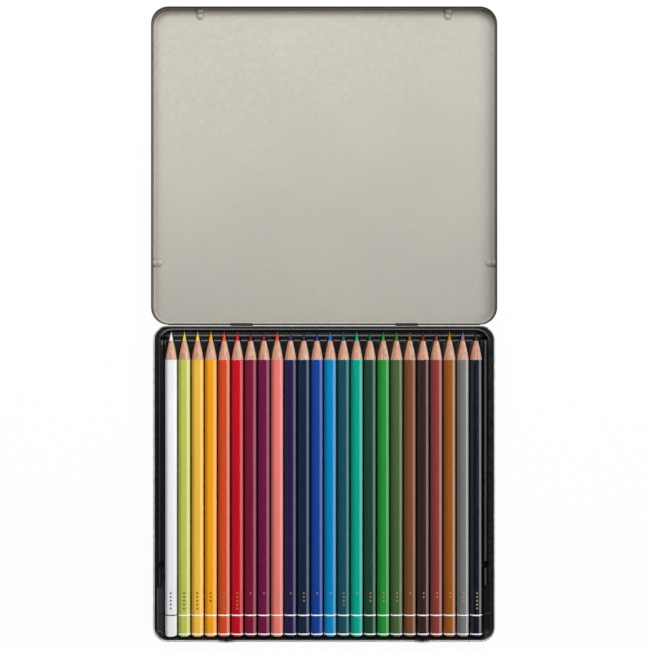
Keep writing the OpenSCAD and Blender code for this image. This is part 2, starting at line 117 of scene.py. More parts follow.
class Nodes:
    """A short way to write the nodes of a material or of the world."""

    def __init__(self, owner, output="ShaderNodeOutputMaterial"):
        owner.use_nodes = True
        self.owner = owner
        self.tree = owner.node_tree
        self.tree.nodes.clear()
        self.out = self.add(output)

    def add(self, kind, inputs=None, **settings):
        """A node; its inputs, by name or place, take plain values or other nodes' sockets."""
        node = self.tree.nodes.new(kind)
        for key, value in settings.items():
            setattr(node, key, value)
        for key, value in (inputs or {}).items():
            if isinstance(value, bpy.types.NodeSocket):
                self.tree.links.new(value, node.inputs[key])
            else:
                node.inputs[key].default_value = value
        return node

    def end(self, node):
        """Makes a shader node's result the one that shows."""
        self.tree.links.new(node.outputs[0], self.out.inputs["Surface"])
        return self.owner

    def maths(self, operation, *values):
        """The result of a sum, product and so on of plain values or sockets."""
        return self.add("ShaderNodeMath", dict(enumerate(values)), operation=operation).outputs[0]

    def noise(self, scale, detail, rough=0.5, stretch=(1, 1, 1)):
        """Noise over object coordinates in metres; a stretch below 1 draws it out that way."""
        place = self.add("ShaderNodeTexCoord").outputs["Object"]
        mapping = self.add("ShaderNodeMapping", {"Vector": place, "Scale": stretch})
        return self.add("ShaderNodeTexNoise", {
            "Vector": mapping.outputs["Vector"], "Scale": scale, "Detail": detail,
            "Roughness": rough}).outputs["Fac"]

    def ramp(self, fac, stops):
        """The colour at fac on a ramp through pairs of place and colour."""
        node = self.add("ShaderNodeValToRGB", {"Fac": fac})
        elements = node.color_ramp.elements
        while len(elements) > 1:
            elements.remove(elements[-1])
        elements[0].position, elements[0].color = stops[0]
        for position, colour in stops[1:]:
            elements.new(position).color = colour
        return node.outputs["Color"]

    def two_tones(self, noise, first, second):
        """A colour that drifts between two tones with a noise."""
        return self.ramp(noise, [(NOISE_LOW, first), (NOISE_HIGH, second)])

    def spread(self, noise, low, high):
        """A value that drifts between two others with a noise."""
        return self.add("ShaderNodeMapRange", {
            "Value": noise, "From Min": NOISE_LOW, "From Max": NOISE_HIGH,
            "To Min": low, "To Max": high}).outputs["Result"]

    def paint_light_by_slope(self, colour, stops):
        """Painted light and shade: the colour times a ramp over the slope of the surface, left (0)
        to right (1).
        """
        normal = self.add("ShaderNodeNewGeometry").outputs["Normal"]
        slope = self.add("ShaderNodeSeparateXYZ", {"Vector": normal}).outputs["X"]
        side = self.add("ShaderNodeMapRange", {"Value": slope, "From Min": -1.0})
        factor = self.ramp(side.outputs["Result"], stops)
        return self.add("ShaderNodeVectorMath", {0: colour, 1: factor},
                        operation="MULTIPLY").outputs["Vector"]

    def bump(self, height, strength, distance, normal=None):
        """Bump from a height, over another normal if one is given; distance in metres."""
        inputs = {"Height": height, "Strength": strength, "Distance": distance}
        if normal is not None:
            inputs["Normal"] = normal
        return self.add("ShaderNodeBump", inputs).outputs["Normal"]

    def shader(self, colour, rough, normal, **fixed):
        """Ends a material in a Principled shader, with fixed values on its own sockets."""
        inputs = {"Base Color": colour, "Roughness": rough, "Normal": normal}
        inputs.update((name.replace("_", " "), value) for name, value in fixed.items())
        return self.end(self.add("ShaderNodeBsdfPrincipled", inputs))

    def mix(self, share, first, second):
        """Ends the tree in a mix of two shader nodes."""
        return self.end(self.add("ShaderNodeMixShader", {
            0: share, 1: first.outputs[0], 2: second.outputs[0]}))


def material_nodes(name):
    """The nodes of a new material."""
    return Nodes(bpy.data.materials.new(name))


# ------------------------ materials

# Painted shade: share of the lacquer's colour kept, by the facet's slope to the left (0) or right
# (1)
PAINTED_FACET_SHADE = [(0.05, 1.0), (0.20, 0.64), (0.27, 0.60), (0.32, 0.64), (0.37, 0.76),
               (0.47, 0.90), (0.50, 1.0)]


def lacquer(name, colour, shine):
    """Glossy pencil lacquer: slight drift of tone, painted shade on its left-facing slopes, orange
    peel, fine handling marks.
    """
    m = material_nodes(name)
    drift = m.two_tones(m.noise(90, detail=3, stretch=(1, 0.12, 1)),
                        shade(colour, 0.93), shade(colour, 1.06))
    # Painted shade: slopes that face left, away from the lamps, get a darker lacquer colour
    tone = m.paint_light_by_slope(drift, [(at, neutral(kept)) for at, kept in PAINTED_FACET_SHADE])
    rough = m.spread(m.noise(900, detail=4, stretch=(1, 0.15, 1)), low=0.16, high=0.26)
    peel = m.bump(m.noise(1400, detail=2, stretch=(1, 0.5, 1)), strength=0.10, distance=0.00004)
    # The darker the lacquer, the more its shine takes on the lacquer's own hue
    peak = max(colour[:3])
    white = 0.48 + 0.4 * peak
    tint = tuple(white + (1 - white) * c / peak for c in colour[:3]) + (1.0,)
    return m.shader(tone, rough, peel, Specular_IOR_Level=0.72 * shine,
                    Specular_Tint=tint, Coat_Weight=0.25 * shine ** 3, Coat_Roughness=0.12)


def bare_wood(name):
    """Sharpened cedar: fine grain along the pencil, pores, the marks of the knife, and a painted
    highlight on the right-facing slopes.
    """
    m = material_nodes(name)
    grain = m.noise(1500, detail=6, rough=0.6, stretch=(1, 0.06, 1))
    fibre = m.ramp(grain, [(0.28, linear(144, 93, 71)), (0.46, linear(188, 138, 115)),
                           (0.62, linear(206, 162, 141)), (0.8, linear(165, 113, 90))])
    # Painted highlight: slopes that face right, towards the lamps, get a lighter, paler wood colour
    tone = m.paint_light_by_slope(fibre, [(0.50, (1, 1, 1, 1)), (0.66, (1.10, 1.16, 1.18, 1)),
                              (0.80, (1.32, 1.50, 1.54, 1)), (0.95, (1.36, 1.56, 1.60, 1))])
    pores = m.noise(5200, detail=2, stretch=(1, 0.03, 1))
    knife = m.noise(2600, detail=2, stretch=(0.2, 1, 0.2))
    relief = m.bump(m.maths("ADD", pores, knife), strength=0.35, distance=0.00006)
    return m.shader(tone, 0.62, relief, Specular_IOR_Level=0.3)


def wax_lead(name, colour):
    """Coloured lead: waxy, with the fine streaks of the sharpener."""
    m = material_nodes(name)
    tone = m.two_tones(m.noise(2200, detail=4, stretch=(1, 0.15, 1)),
                       shade(colour, 0.78), shade(colour, 1.04))
    streaks = m.bump(m.noise(4200, detail=3, stretch=(0.3, 1, 0.3)), strength=0.3, distance=0.00005)
    return m.shader(tone, 0.45, streaks, Specular_IOR_Level=0.12)


def ring_white(name):
    """White lacquer of the rings, laid on a little uneven."""
    m = material_nodes(name)
    tone = m.two_tones(m.noise(700, detail=2), linear(238, 238, 236), linear(250, 250, 248))
    return m.shader(tone, 0.3, m.bump(m.noise(1800, detail=2), strength=0.08, distance=0.00003))


def metal_foil(name, colour):
    """Stamped foil of the marks, matt in places."""
    m = material_nodes(name)
    tone = m.two_tones(m.noise(3000, detail=3), shade(colour, 0.75), shade(colour, 1.15))
    rough = m.spread(m.noise(2500, detail=3), low=0.3, high=0.5)
    creases = m.bump(m.noise(6000, detail=2), strength=0.2, distance=0.00002)
    return m.shader(tone, rough, creases, Metallic=0.75)


def insert_plastic(name, lift=0):
    """Vacuum-formed black plastic: high gloss, soft ripples; lift makes it greyer."""
    m = material_nodes(name)
    tone = m.two_tones(m.noise(40, detail=2), linear(14 + lift, 14 + lift, 15 + lift),
                       linear(24 + lift, 24 + lift, 26 + lift))
    rough = m.spread(m.noise(500, detail=4), low=0.14, high=0.28)
    ripples = m.bump(m.noise(160, detail=2), strength=0.25, distance=0.0004)
    fine = m.bump(m.noise(2400, detail=2), strength=0.12, distance=0.00003, normal=ripples)
    return m.shader(tone, rough, fine, Specular_IOR_Level=0.5)


def satin_lacquer(name, light, dark):
    """Grey lacquer on tinplate: satin, with fine grit and faint clouding."""
    m = material_nodes(name)
    cloud = m.noise(14, detail=3)
    speckle = m.noise(1500, detail=3, rough=0.6)
    mixed = m.maths("MULTIPLY_ADD", cloud, 0.5, speckle)
    tone = m.ramp(mixed, [(0.5, dark), (1.0, light)])
    rough = m.spread(m.noise(300, detail=4), low=0.38, high=0.50)
    grit = m.bump(m.noise(3200, detail=3, rough=0.6), strength=0.3, distance=0.00005)
    return m.shader(tone, rough, grit, Metallic=0.12)


def dark_coat(name):
    """Black satin enamel with light rubbing."""
    m = material_nodes(name)
    tone = m.ramp(m.noise(60, detail=4), [(0.3, linear(23, 22, 22)), (0.75, linear(35, 34, 33))])
    rough = m.spread(m.noise(420, detail=5, rough=0.6), low=0.32, high=0.46)
    grit = m.bump(m.noise(1800, detail=3), strength=0.15, distance=0.00004)
    return m.shader(tone, rough, grit, Specular_IOR_Level=0.35)


def bare_tin(name, shade_drop=0):
    """Tinplate with clear lacquer; its second argument darkens it, for painted shade."""
    m = material_nodes(name)
    tone = m.two_tones(m.noise(300, detail=4, stretch=(1, 1, 4)),
                       linear(182 - shade_drop, 182 - shade_drop, 180 - shade_drop),
                       linear(212 - shade_drop, 212 - shade_drop, 210 - shade_drop))
    rough = m.spread(m.noise(900, detail=4), low=0.28, high=0.42)
    grain = m.bump(m.noise(2600, detail=2), strength=0.12, distance=0.00003)
    return m.shader(tone, rough, grain, Metallic=0.6)


# ------------------------ mesh helpers

def in_scene(name, data):
    """A new object in the scene with this mesh, lamp or camera."""
    obj = bpy.data.objects.new(name, data)
    bpy.context.scene.collection.objects.link(obj)
    return obj


def new_object(name, mesh, materials, body, nodes=()):
    """A piece that rides on a body, and may stand for CAD nodes."""
    obj = in_scene(name, mesh)
    for material in materials:
        mesh.materials.append(material)
    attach(obj, body)
    if nodes:
        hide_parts(*nodes)
    return obj


def discard(obj):
    """Removes a scratch object with its mesh."""
    mesh = obj.data
    bpy.data.objects.remove(obj)
    bpy.data.meshes.remove(mesh)


def applied(obj, name):
    """A scratch object's mesh with its modifiers applied; the object itself goes."""
    graph = bpy.context.evaluated_depsgraph_get()
    mesh = bpy.data.meshes.new_from_object(obj.evaluated_get(graph))
    discard(obj)
    mesh.name = name
    return mesh


def smooth(mesh, degrees):
    """Smooth shading, except over edges sharper than this."""
    mesh.shade_smooth()
    mesh.set_sharp_from_angle(angle=math.radians(degrees))


def mesh_from(name, points, faces, indices=None):
    """Mesh from points in millimetres, with a material index for each face."""
    mesh = bpy.data.meshes.new(name)
    mesh.from_pydata([(x * MM, y * MM, z * MM) for x, y, z in points], [], faces)
    if indices:
        mesh.polygons.foreach_set("material_index", indices)
    mesh.update()
    return mesh


def rounded_copy(node, name, width):
    """A copy of a CAD node's mesh with its sharper edges rounded."""
    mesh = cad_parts[node].data.copy()
    mesh.name = name
    mesh.materials.clear()
    bm = bmesh.new()
    bm.from_mesh(mesh)
    bmesh.ops.remove_doubles(bm, verts=bm.verts, dist=2e-7)
    bmesh.ops.dissolve_limit(bm, angle_limit=math.radians(0.8), verts=bm.verts,
                             edges=bm.edges)
    bm.to_mesh(mesh)
    bm.free()
    smooth(mesh, degrees=40)
    obj = in_scene(name, mesh)
    bevel = obj.modifiers.new("round", "BEVEL")
    bevel.width = width * MM
    bevel.segments = 2
    bevel.limit_method = "ANGLE"
    bevel.angle_limit = math.radians(35)
    bevel.use_clamp_overlap = True
    bevel.miter_outer = "MITER_ARC"
    even = obj.modifiers.new("even", "WEIGHTED_NORMAL")
    even.keep_sharp = True
    even.weight = 90
    return applied(obj, name)


def band(low, high, count):
    """Faces between two rings of points, from the first point of each."""
    return [(low + k, high + k, high + (k + 1) % count, low + (k + 1) % count)
            for k in range(count)]


def along(table, x):
    """Value at x of a table of straight pieces, level beyond its ends."""
    if x <= table[0][0]:
        return table[0][1]
    for (x0, v0), (x1, v1) in zip(table, table[1:]):
        if x <= x1:
            return v0 + (v1 - v0) * (x - x0) / (x1 - x0)
    return table[-1][1]


def ease(t):
    """Soft step from 0 to 1."""
    t = max(0.0, min(1.0, t))
    return t * t * (3 - 2 * t)


# ------------------------ pencils

# Name, lacquer, lead and number of marks, from left to right
COLOURS = [
    ("white", (229, 230, 234), (240, 240, 242), 5),
    ("lime", (190, 196, 88), (220, 210, 80), 5),
    ("maize", (238, 185, 70), (245, 205, 60), 5),
    ("golden", (240, 160, 20), (245, 170, 10), 3),
    ("orange", (205, 75, 30), (230, 80, 30), 5),
    ("red", (195, 10, 30), (225, 20, 35), 5),
    ("burgundy", (120, 22, 50), (130, 20, 30), 1),
    ("purple", (110, 20, 65), (130, 25, 55), 1),
    ("coral", (225, 120, 110), (225, 75, 60), 4),
    ("violet", (38, 28, 70), (60, 50, 90), 1),
    ("navy", (20, 38, 62), (30, 45, 60), 3),
    ("cobalt", (20, 65, 150), (30, 50, 140), 1),
    ("sky", (0, 130, 185), (0, 120, 200), 1),
    ("deep_teal", (20, 78, 90), (0, 95, 115), 4),
    ("turquoise", (0, 160, 140), (0, 165, 145), 1),
    ("forest", (28, 64, 50), (10, 80, 60), 3),
    ("green", (35, 140, 55), (20, 150, 50), 3),
    ("olive", (70, 96, 56), (60, 120, 40), 3),
    ("brown", (118, 72, 42), (120, 90, 30), 1),
    ("dark_brown", (52, 33, 28), (100, 40, 30), 2),
    ("red_brown", (140, 58, 52), (100, 70, 75), 2),
    ("ochre", (150, 84, 22), (185, 130, 20), 2),
    ("grey", (118, 119, 118), (120, 120, 150), 3),
    ("black", (8, 13, 20), (40, 45, 52), 5),
]
# Shine of the pencils whose lacquer is duller or glossier than the others'
SHINE = {1: 0.6, 2: 1.35, 5: 1.25, 20: 1.15, 21: 1.3, 22: 1.38, 23: 1.38, 24: 1.38}
# The white pencil has one ring only, and it is tan
WHITE_PENCIL = 1
# The marks are tan on the first pencils and gold on the others
TAN_MARKED = 4

# Section of the painted barrel: radius of its corners, and the flats' distance and crown
CORNER_R, CHORD, CROWN = 0.95, 3.12, 0.07
# Its points: turns over each corner, in degrees, and places across each flat
CORNER_TURNS, FLAT_PLACES = range(-30, 31, 10), (-0.6, -0.2, 0.2, 0.6)

# How far the lacquer's soft shine leans outwards, in degrees, by distance from the middle
LEAN = [(0.0, 0.0), (1.35, 3.0), (1.7, 15.0), (2.07, 20.0), (3.05, 28.0), (3.5, 90.0)]

# Rounding of the dipped end: its radius, and its turns in degrees
DIP_R, DIP_TURNS = 0.75, range(0, 91, 15)
# Places from the pencil's end: edges of the two light rings, and plain cuts of the barrel
END_RING, SECOND_RING = (1.32, 2.06), (12.15, 12.87)
PLAIN_CUTS = (7.0, 25.0, 60.0, 100.0, 135.0)
# Shift of the rings' edges along the barrel, by depth below its top
RING_SLOPE = 0.15

PAINT_THICK = 0.05
# Distance back from the paint's edge, and how much thinner the paint is there
PAINT_EDGE = ((6.0, 0.0), (0.10, 0.0), (0.03, 0.02), (0.0, PAINT_THICK))
# The paint's edge: distance from the tip, and reach and sharpness of its scallops
PAINT_START, SCALLOP, SCALLOP_POWER = CONE + 0.05, 0.25, 1.5
# Its ragged waves: how many, and the range of their phases and sizes
WAVES, WAVE_PHASES, WAVE_SIZES = 5, (0, 6.28), (0.02, 0.07)

# Distance from the tip and radius of the sharpened wood
WOOD = [(5.35, 1.21), (8.25, 1.87), (11.1, 2.50), (12.6, 2.80), (13.9, 3.00), (15.0, 3.12),
        (16.0, 3.19)]
WOOD_STEPS = 16
# The wood leaves the barrel's form within a seventh of its length
WOOD_BLEND = 7

# Distance from the tip and radius of the lead, from its root inside the wood
LEAD_OUTLINE = [(11.0, 1.15), (5.6, 1.15), (5.38, 1.2), (4.5, 1.03), (3.6, 0.84), (2.7, 0.645),
                (1.8, 0.445), (1.0, 0.27), (0.45, 0.165), (0.2, 0.125), (0.06, 0.08)]
LEAD_SIDES, LEAD_TIP = 28, 0.01
# Nearer to the tip than this, the sharpener has left the lead uneven by this share
CUT_LEAD, UNEVEN = 5, (-0.025, 0.02)

# Stamped stars: first place from the pencil's end, step between them, and place to one side
STAR_FIRST, STAR_STEP, STAR_ASIDE = 25.2, 2.19, 0.15
# Their corners, the radii of the outer and inner ones, thickness, and height above the flat
STAR_CORNERS, STAR_TIPS, STAR_NOTCHES, STAR_THICK, STAR_PROUD = 10, 0.72, 0.42, 0.05, 0.012

# Seeds of the uneven paint edges and leads, before the pencil's number is added
PAINT_SEED, LEAD_SEED = 100, 300
# Material slots of a casing
LACQUER, LIGHT, FOIL, BARE = range(4)


def barrel_section():
    """Angle and radius of the points round the barrel, with a flat on top and below."""
    slant = math.radians(30)
    ring = (CHORD - CORNER_R) / math.cos(slant)
    half = (CHORD - CORNER_R) * math.tan(slant)
    points = []
    for side in range(6):
        corner = math.radians(60 * side)
        cx, cz = ring * math.cos(corner), ring * math.sin(corner)
        for turn in CORNER_TURNS:
            b = corner + math.radians(turn)
            points.append((cx + CORNER_R * math.cos(b), cz + CORNER_R * math.sin(b)))
        outwards = corner + slant
        across = outwards + math.radians(90)
        for s in FLAT_PLACES:
            lift = CHORD + CROWN * (1 - s * s)
            points.append((lift * math.cos(outwards) + s * half * math.cos(across),
                           lift * math.sin(outwards) + s * half * math.sin(across)))
    return [(math.atan2(z, x), math.hypot(x, z)) for x, z in points]


SECTION = barrel_section()
RADII = [r for _, r in SECTION]
BARREL_TOP = max(r * math.sin(a) for a, r in SECTION)
# Shift of the rings' edges towards the pencil's end at each point round the barrel
RING_SHIFT = [RING_SLOPE * min(BARREL_TOP - r * math.sin(a), BARREL_TOP) for a, r in SECTION]


def soft_normal(angle, radius):
    """Normal of the lacquer round the barrel, softened as thick lacquer looks."""
    x, z = radius * math.cos(angle), radius * math.sin(angle)
    lean = math.radians(along(LEAN, abs(x)))
    return Vector((math.copysign(math.sin(lean), x), 0, math.copysign(math.cos(lean), z)))


def paint_border(seed):
    """Distance of the paint's edge from the tip, for each point round the barrel."""
    rng = random.Random(seed)
    waves = [(rng.uniform(*WAVE_PHASES), rng.uniform(*WAVE_SIZES)) for _ in range(WAVES)]
    low, high = min(RADII), max(RADII)
    border = []
    for angle, radius in SECTION:
        scallop = (radius - low) / (high - low)
        ragged = sum(size * math.sin((k + 1) * 2 * angle + phase)
                     for k, (phase, size) in enumerate(waves))
        border.append(PAINT_START + SCALLOP * scallop ** SCALLOP_POWER + ragged)
    return border


def casing(i, body, x0, coat):
    """Lacquered barrel with its dipped end and rings, and the sharpened wood."""
    border = paint_border(PAINT_SEED + i)
    count = len(SECTION)
    points, faces, slots = [], [], []

    def grow(slot, distances, radii):
        """Adds a ring of points at distances from the pencil's end, and the skin up to it."""
        now = len(points)
        for (angle, _), y, r in zip(SECTION, distances, radii):
            points.append((x0 + r * math.cos(angle), END_Y + y, AXIS_Z + r * math.sin(angle)))
        if now:
            faces.extend(band(now - count, now, count))
            slots.extend([slot] * count)

    def cap(slot, ring):
        faces.append(tuple(ring))
        slots.append(slot)

    for turn in DIP_TURNS:
        a = math.radians(turn)
        inset = DIP_R * (1 - math.sin(a))
        grow(LACQUER, [DIP_R * (1 - math.cos(a))] * count, [r - inset for r in RADII])
        if turn == DIP_TURNS[0]:
            cap(LACQUER, range(count))
    painted = len(points) - count
    ring_slots = {END_RING[1]: LACQUER if i == WHITE_PENCIL else LIGHT,
                  SECOND_RING[1]: FOIL if i == WHITE_PENCIL else LIGHT}
    for y in sorted(END_RING + SECOND_RING + PLAIN_CUTS):
        places = [y] * count if y in PLAIN_CUTS else [y - shift for shift in RING_SHIFT]
        grow(ring_slots.get(y, LACQUER), places, RADII)
    for back, thinner in PAINT_EDGE:
        grow(LACQUER, [PENCIL_LENGTH - b - back for b in border], [r - thinner for r in RADII])
    barrel = range(painted, len(points) - count)
    for step in range(1, WOOD_STEPS + 1):
        t = step / WOOD_STEPS
        blend = max(0.0, 1 - t * WOOD_BLEND)
        from_tip = [b + (WOOD[0][0] - b) * t for b in border]
        grow(BARE, [PENCIL_LENGTH - d for d in from_tip],
             [min(along(WOOD, d) * (1 - blend) + (r - PAINT_THICK) * blend, r - PAINT_THICK)
              for d, r in zip(from_tip, RADII)])
    cap(BARE, reversed(range(len(points) - count, len(points))))
    mesh = mesh_from(f"{body}_casing_look", points, faces, slots)
    smooth(mesh, degrees=50)
    mesh.normals_split_custom_set_from_vertices(
        [soft_normal(*SECTION[v % count]) if v in barrel else (0, 0, 0)
         for v in range(len(points))])
    new_object(f"{body}_wood_and_paint", mesh, [coat, RING, TAN, CEDAR], body,
               [f"{body}_casing"])


def lead(i, body, x0, wax):
    """Bare point of the lead, with its root inside the wood."""
    rng = random.Random(LEAD_SEED + i)
    points, faces = [], []
    for d, r in LEAD_OUTLINE:
        for k in range(LEAD_SIDES):
            a = 2 * math.pi * k / LEAD_SIDES
            wobble = 1 + (rng.uniform(*UNEVEN) if d < CUT_LEAD else 0)
            points.append((x0 + r * wobble * math.cos(a), END_Y + PENCIL_LENGTH - d,
                           AXIS_Z + r * wobble * math.sin(a)))
    for ring in range(len(LEAD_OUTLINE) - 1):
        faces += band(ring * LEAD_SIDES, (ring + 1) * LEAD_SIDES, LEAD_SIDES)
    faces.append(tuple(range(LEAD_SIDES)))
    tip = len(points)
    points.append((x0, END_Y + PENCIL_LENGTH - LEAD_TIP, AXIS_Z))
    top = tip - LEAD_SIDES
    for k in range(LEAD_SIDES):
        faces.append((top + k, tip, top + (k + 1) % LEAD_SIDES))
    mesh = mesh_from(f"{body}_lead_look", points, faces)
    smooth(mesh, degrees=50)
    new_object(f"{body}_point", mesh, [wax], body, [f"{body}_lead"])


def star_marks(i, body, x0, number):
    """Small stamped stars in a column on the upper flat."""
    points, faces = [], []
    top = AXIS_Z + CHORD + CROWN + STAR_PROUD
    for k in range(number):
        y = END_Y + STAR_FIRST - STAR_STEP * k
        base = len(points)
        for level in (0.0, -STAR_THICK):
            for s in range(STAR_CORNERS):
                r = STAR_TIPS if s % 2 == 0 else STAR_NOTCHES
                a = math.radians(90 + 360 // STAR_CORNERS * s)
                points.append((x0 + STAR_ASIDE + r * math.cos(a), y + r * math.sin(a),
                               top + level))
        low = base + STAR_CORNERS
        faces.append(tuple(range(base, low)))
        faces.append(tuple(reversed(range(low, low + STAR_CORNERS))))
        faces += band(base, low, STAR_CORNERS)
    mesh = mesh_from(f"{body}_marks_look", points, faces)
    new_object(f"{body}_marks", mesh, [TAN if i <= TAN_MARKED else GOLD], body)


def pencil(i):
    """Casing, lead and marks of one pencil."""
    name, paint, core, marks = COLOURS[i - 1]
    body = f"pencil_{i:02d}"
    low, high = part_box(f"{body}_casing")
    x0 = (low.x + high.x) / 2 / MM + ASIDE
    casing(i, body, x0, lacquer(f"lacquer_{name}", linear(*paint), SHINE.get(i, 1.0)))
    lead(i, body, x0, wax_lead(f"lead_{name}", linear(*core)))
    star_marks(i, body, x0, marks)


RING = ring_white("ring_white")
GOLD = metal_foil("gold_foil", linear(205, 165, 110))
TAN = metal_foil("tan_foil", linear(125, 92, 64))
CEDAR = bare_wood("cedar")

for number in range(1, PENCILS + 1):
    pencil(number)


# ------------------------ tray and lid

TRAY_HALF_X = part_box("tray_shell")[1].x / MM
lid_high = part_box("lid_shell")[1]
LID_HALF_X, LID_FAR, LID_DEPTH = lid_high.x / MM, lid_high.y / MM, lid_high.z / MM

# Outlines seen from above: half width, half length, corner radius and middle along y
TRAY_PLAN = (TRAY_HALF_X, TRAY_HALF_Y, TRAY_CORNER, 0)
LID_PLAN = (LID_HALF_X, (LID_FAR - LID_BACK) / 2, TRAY_CORNER + SIDE_CLEARANCE + 2 * SHEET,
            (LID_FAR + LID_BACK) / 2)

# Middles of the balls that press the dimples, on the inner face of the lid's walls
DIMPLES = [Vector((side * DIMPLE_X, LID_FAR - SHEET, SHEET)) for side in (-1, 1)]
DIMPLES += [Vector((side * (LID_HALF_X - SHEET), LID_BACK + DIMPLE_Y, SHEET))
            for side in (-1, 1)]
# How far a dent's rim and its painted hollow reach from there, and how much the hollow's faces
# point back to it
DENT_RIM, DENT_HOLLOW, DENT_FACING = 3.3, 3, 0.5

# Domes of the dimples on the panel: place from the wall, radius, height, and depth in the panel
DOME_INSET, DOME_R, DOME_HEIGHT, DOME_SINK = 3.5, 2.6, 1.25, 0.04
DOME_SIDES, DOME_LEVELS = 32, 10

# Faces larger than this, in square metres, are the lid's flat panel
PANEL_AREA = 0.01
# A face whose normal leans outwards more than this is on the outside of a wall
OUTWARDS = 0.05
# By that lean downwards a face is under the tray, and by this one under the open lid
TRAY_UNDER, LID_UNDER = -0.4, -0.3
# A limit lies this far clear of the border that it is meant for
CLEAR = 0.02
# The outside of the tray starts this far from the corners' core, beyond its floor
TRAY_OUTSIDE = 5.5
# The hinge tongues hang at least this far below the rim, whose back part this wide is painted
# darker as shade
TONGUE_DROP, SHADED_BACK = 0.1, 1.7
# Lid, from its outline inwards: its outside, inner walls with their painted shade, and the hem's
# two layers of sheet
LID_OUTSIDE, WALL_REACH, HEM_REACH = 0.5, 1.1, 2 * SHEET + 0.05
# Heights in the lid: start of the inner walls' painted shade, end of its bend outside, and the
# hem's own
WALL_START, BEND_END, HEM_HEIGHT = 0.9, 2.5, 1.55

# Material slots of the tray, and of the lid
TRAY_TIN, TRAY_COAT, TRAY_SHADED = range(3)
LID_GREY, LID_COAT, LID_SHADED_WALL = range(3)


def side_of(centre, normal, plan):
    """How far a point lies from the corners' core, and how much a normal points outwards."""
    half_x, half_y, corner, mid_y = plan
    x, y = centre.x / MM, centre.y / MM - mid_y
    cx = max(-(half_x - corner), min(half_x - corner, x))
    cy = max(-(half_y - corner), min(half_y - corner, y))
    out = Vector((x - cx, y - cy, 0))
    r = out.length
    if r > 1e-6:
        out /= r
    return r, normal.dot(out)


def faces_by_plan(mesh, plan):
    """Each face with its least distance from the plan's core, middle height and outwardness."""
    for p in mesh.polygons:
        places = [mesh.vertices[v].co for v in p.vertices]
        reach = min(side_of(place, p.normal, plan)[0] for place in places)
        height = sum(place.z for place in places) / len(places) / MM
        yield p, reach, height, side_of(p.center, p.normal, plan)[1]


def paint_tray(mesh):
    """Bare metal inside and on the rolled rim, dark coat outside and on the hinge tongues, and
    painted shade at the rim's back.
    """
    rim_low = TRAY_HEIGHT - RIM
    for p, r, z, out in faces_by_plan(mesh, TRAY_PLAN):
        outside = out > OUTWARDS and z < rim_low - CLEAR and r > TRAY_OUTSIDE
        under = p.normal.z < TRAY_UNDER and z < rim_low
        # The hinge tongues take the dark coat on all faces: partly the tray's outer coat, partly
        # painted shade for the hinge's dark slots
        tongue = r > TRAY_CORNER - RIM + SHEET + CLEAR and z < rim_low - TONGUE_DROP
        # Painted shade: the back of the rim, by the hinge, takes a darker copy of the tin
        back = p.center.y / MM > TRAY_HALF_Y - SHADED_BACK and z > rim_low
        if outside or under or tongue:
            p.material_index = TRAY_COAT
        else:
            p.material_index = TRAY_SHADED if back else TRAY_TIN


def flatten_dents(mesh):
    """Brings the rims of the dimples' dents back to the lid's rounded outer corner."""
    # The flat panel keeps the shading that it has before its rim moves
    before = [n.vector.copy() for n in mesh.corner_normals]
    panel = {i for p in mesh.polygons if p.area > PANEL_AREA for i in p.loop_indices}
    for v in mesh.vertices:
        p = v.co / MM
        place = min(DIMPLES, key=lambda c: (c - p).length)
        at_side = place.y < LID_FAR - 1
        out = abs(p.x) - LID_HALF_X if at_side else p.y - LID_FAR
        across, down = out + LID_BEND, LID_BEND - p.z
        reach = math.hypot(across, down)
        if (place - p).length > DENT_RIM or across <= 0 or down <= 0 or reach <= LID_BEND:
            continue
        out = across * LID_BEND / reach - LID_BEND
        if at_side:
            v.co.x = math.copysign(LID_HALF_X + out, p.x) * MM
        else:
            v.co.y = (LID_FAR + out) * MM
        v.co.z = (LID_BEND - down * LID_BEND / reach) * MM
    mesh.update()
    mesh.normals_split_custom_set([before[i] if i in panel else n.vector.copy()
                                   for i, n in enumerate(mesh.corner_normals)])


def paint_lid(mesh):
    """Grey lacquer inside, with painted shade on the walls; dark coat outside, on the bead and the
    hem.
    """
    corner = LID_PLAN[2]
    for p, r, z, out in faces_by_plan(mesh, LID_PLAN):
        outside = out > OUTWARDS and r > corner - LID_OUTSIDE
        under = p.normal.z < LID_UNDER and z < BEND_END
        hem = r > corner - HEM_REACH and z > LID_DEPTH - HEM_HEIGHT
        dent = any((c - p.center / MM).length < DENT_HOLLOW
                   and p.normal.dot(c - p.center / MM) > DENT_FACING for c in DIMPLES)
        # Painted shade: the inner walls take a darker copy of the grey lacquer
        wall = r > corner - WALL_REACH and z > WALL_START
        if outside or under or hem or dent:
            p.material_index = LID_COAT
        else:
            p.material_index = LID_SHADED_WALL if wall else LID_GREY


